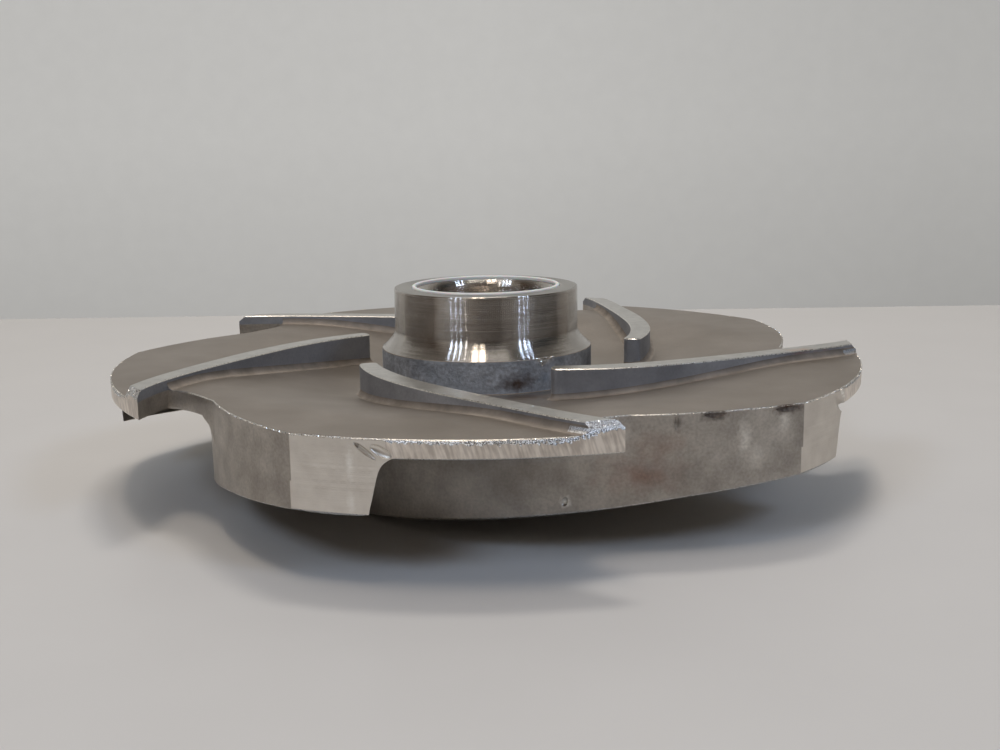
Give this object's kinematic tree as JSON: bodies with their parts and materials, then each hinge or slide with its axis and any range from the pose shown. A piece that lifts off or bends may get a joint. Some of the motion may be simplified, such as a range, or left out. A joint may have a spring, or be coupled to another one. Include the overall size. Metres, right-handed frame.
{
  "type": "semi-open pump impeller",
  "caption": "Semi-open centrifugal pump impeller: lobed shroud, curved main vanes on the suction side, low back vanes, turned hub with a blind bore.",
  "frame": {"origin": "on the shaft axis, on the floor that the main vanes rest on", "axes": "+Z along the shaft axis from the suction side to the hub's end face"},
  "size_m": [0.2498, 0.2474, 0.063],
  "materials": {
    "cast_stainless": "cast stainless steel, turned bright on the hub, the rim and the vane edges",
    "white_seal": "white fluoropolymer seal ring"
  },
  "bodies": {
    "root": {"impeller_casting": "cast_stainless", "seal_ring": "white_seal"}
  },
  "joints": []
}
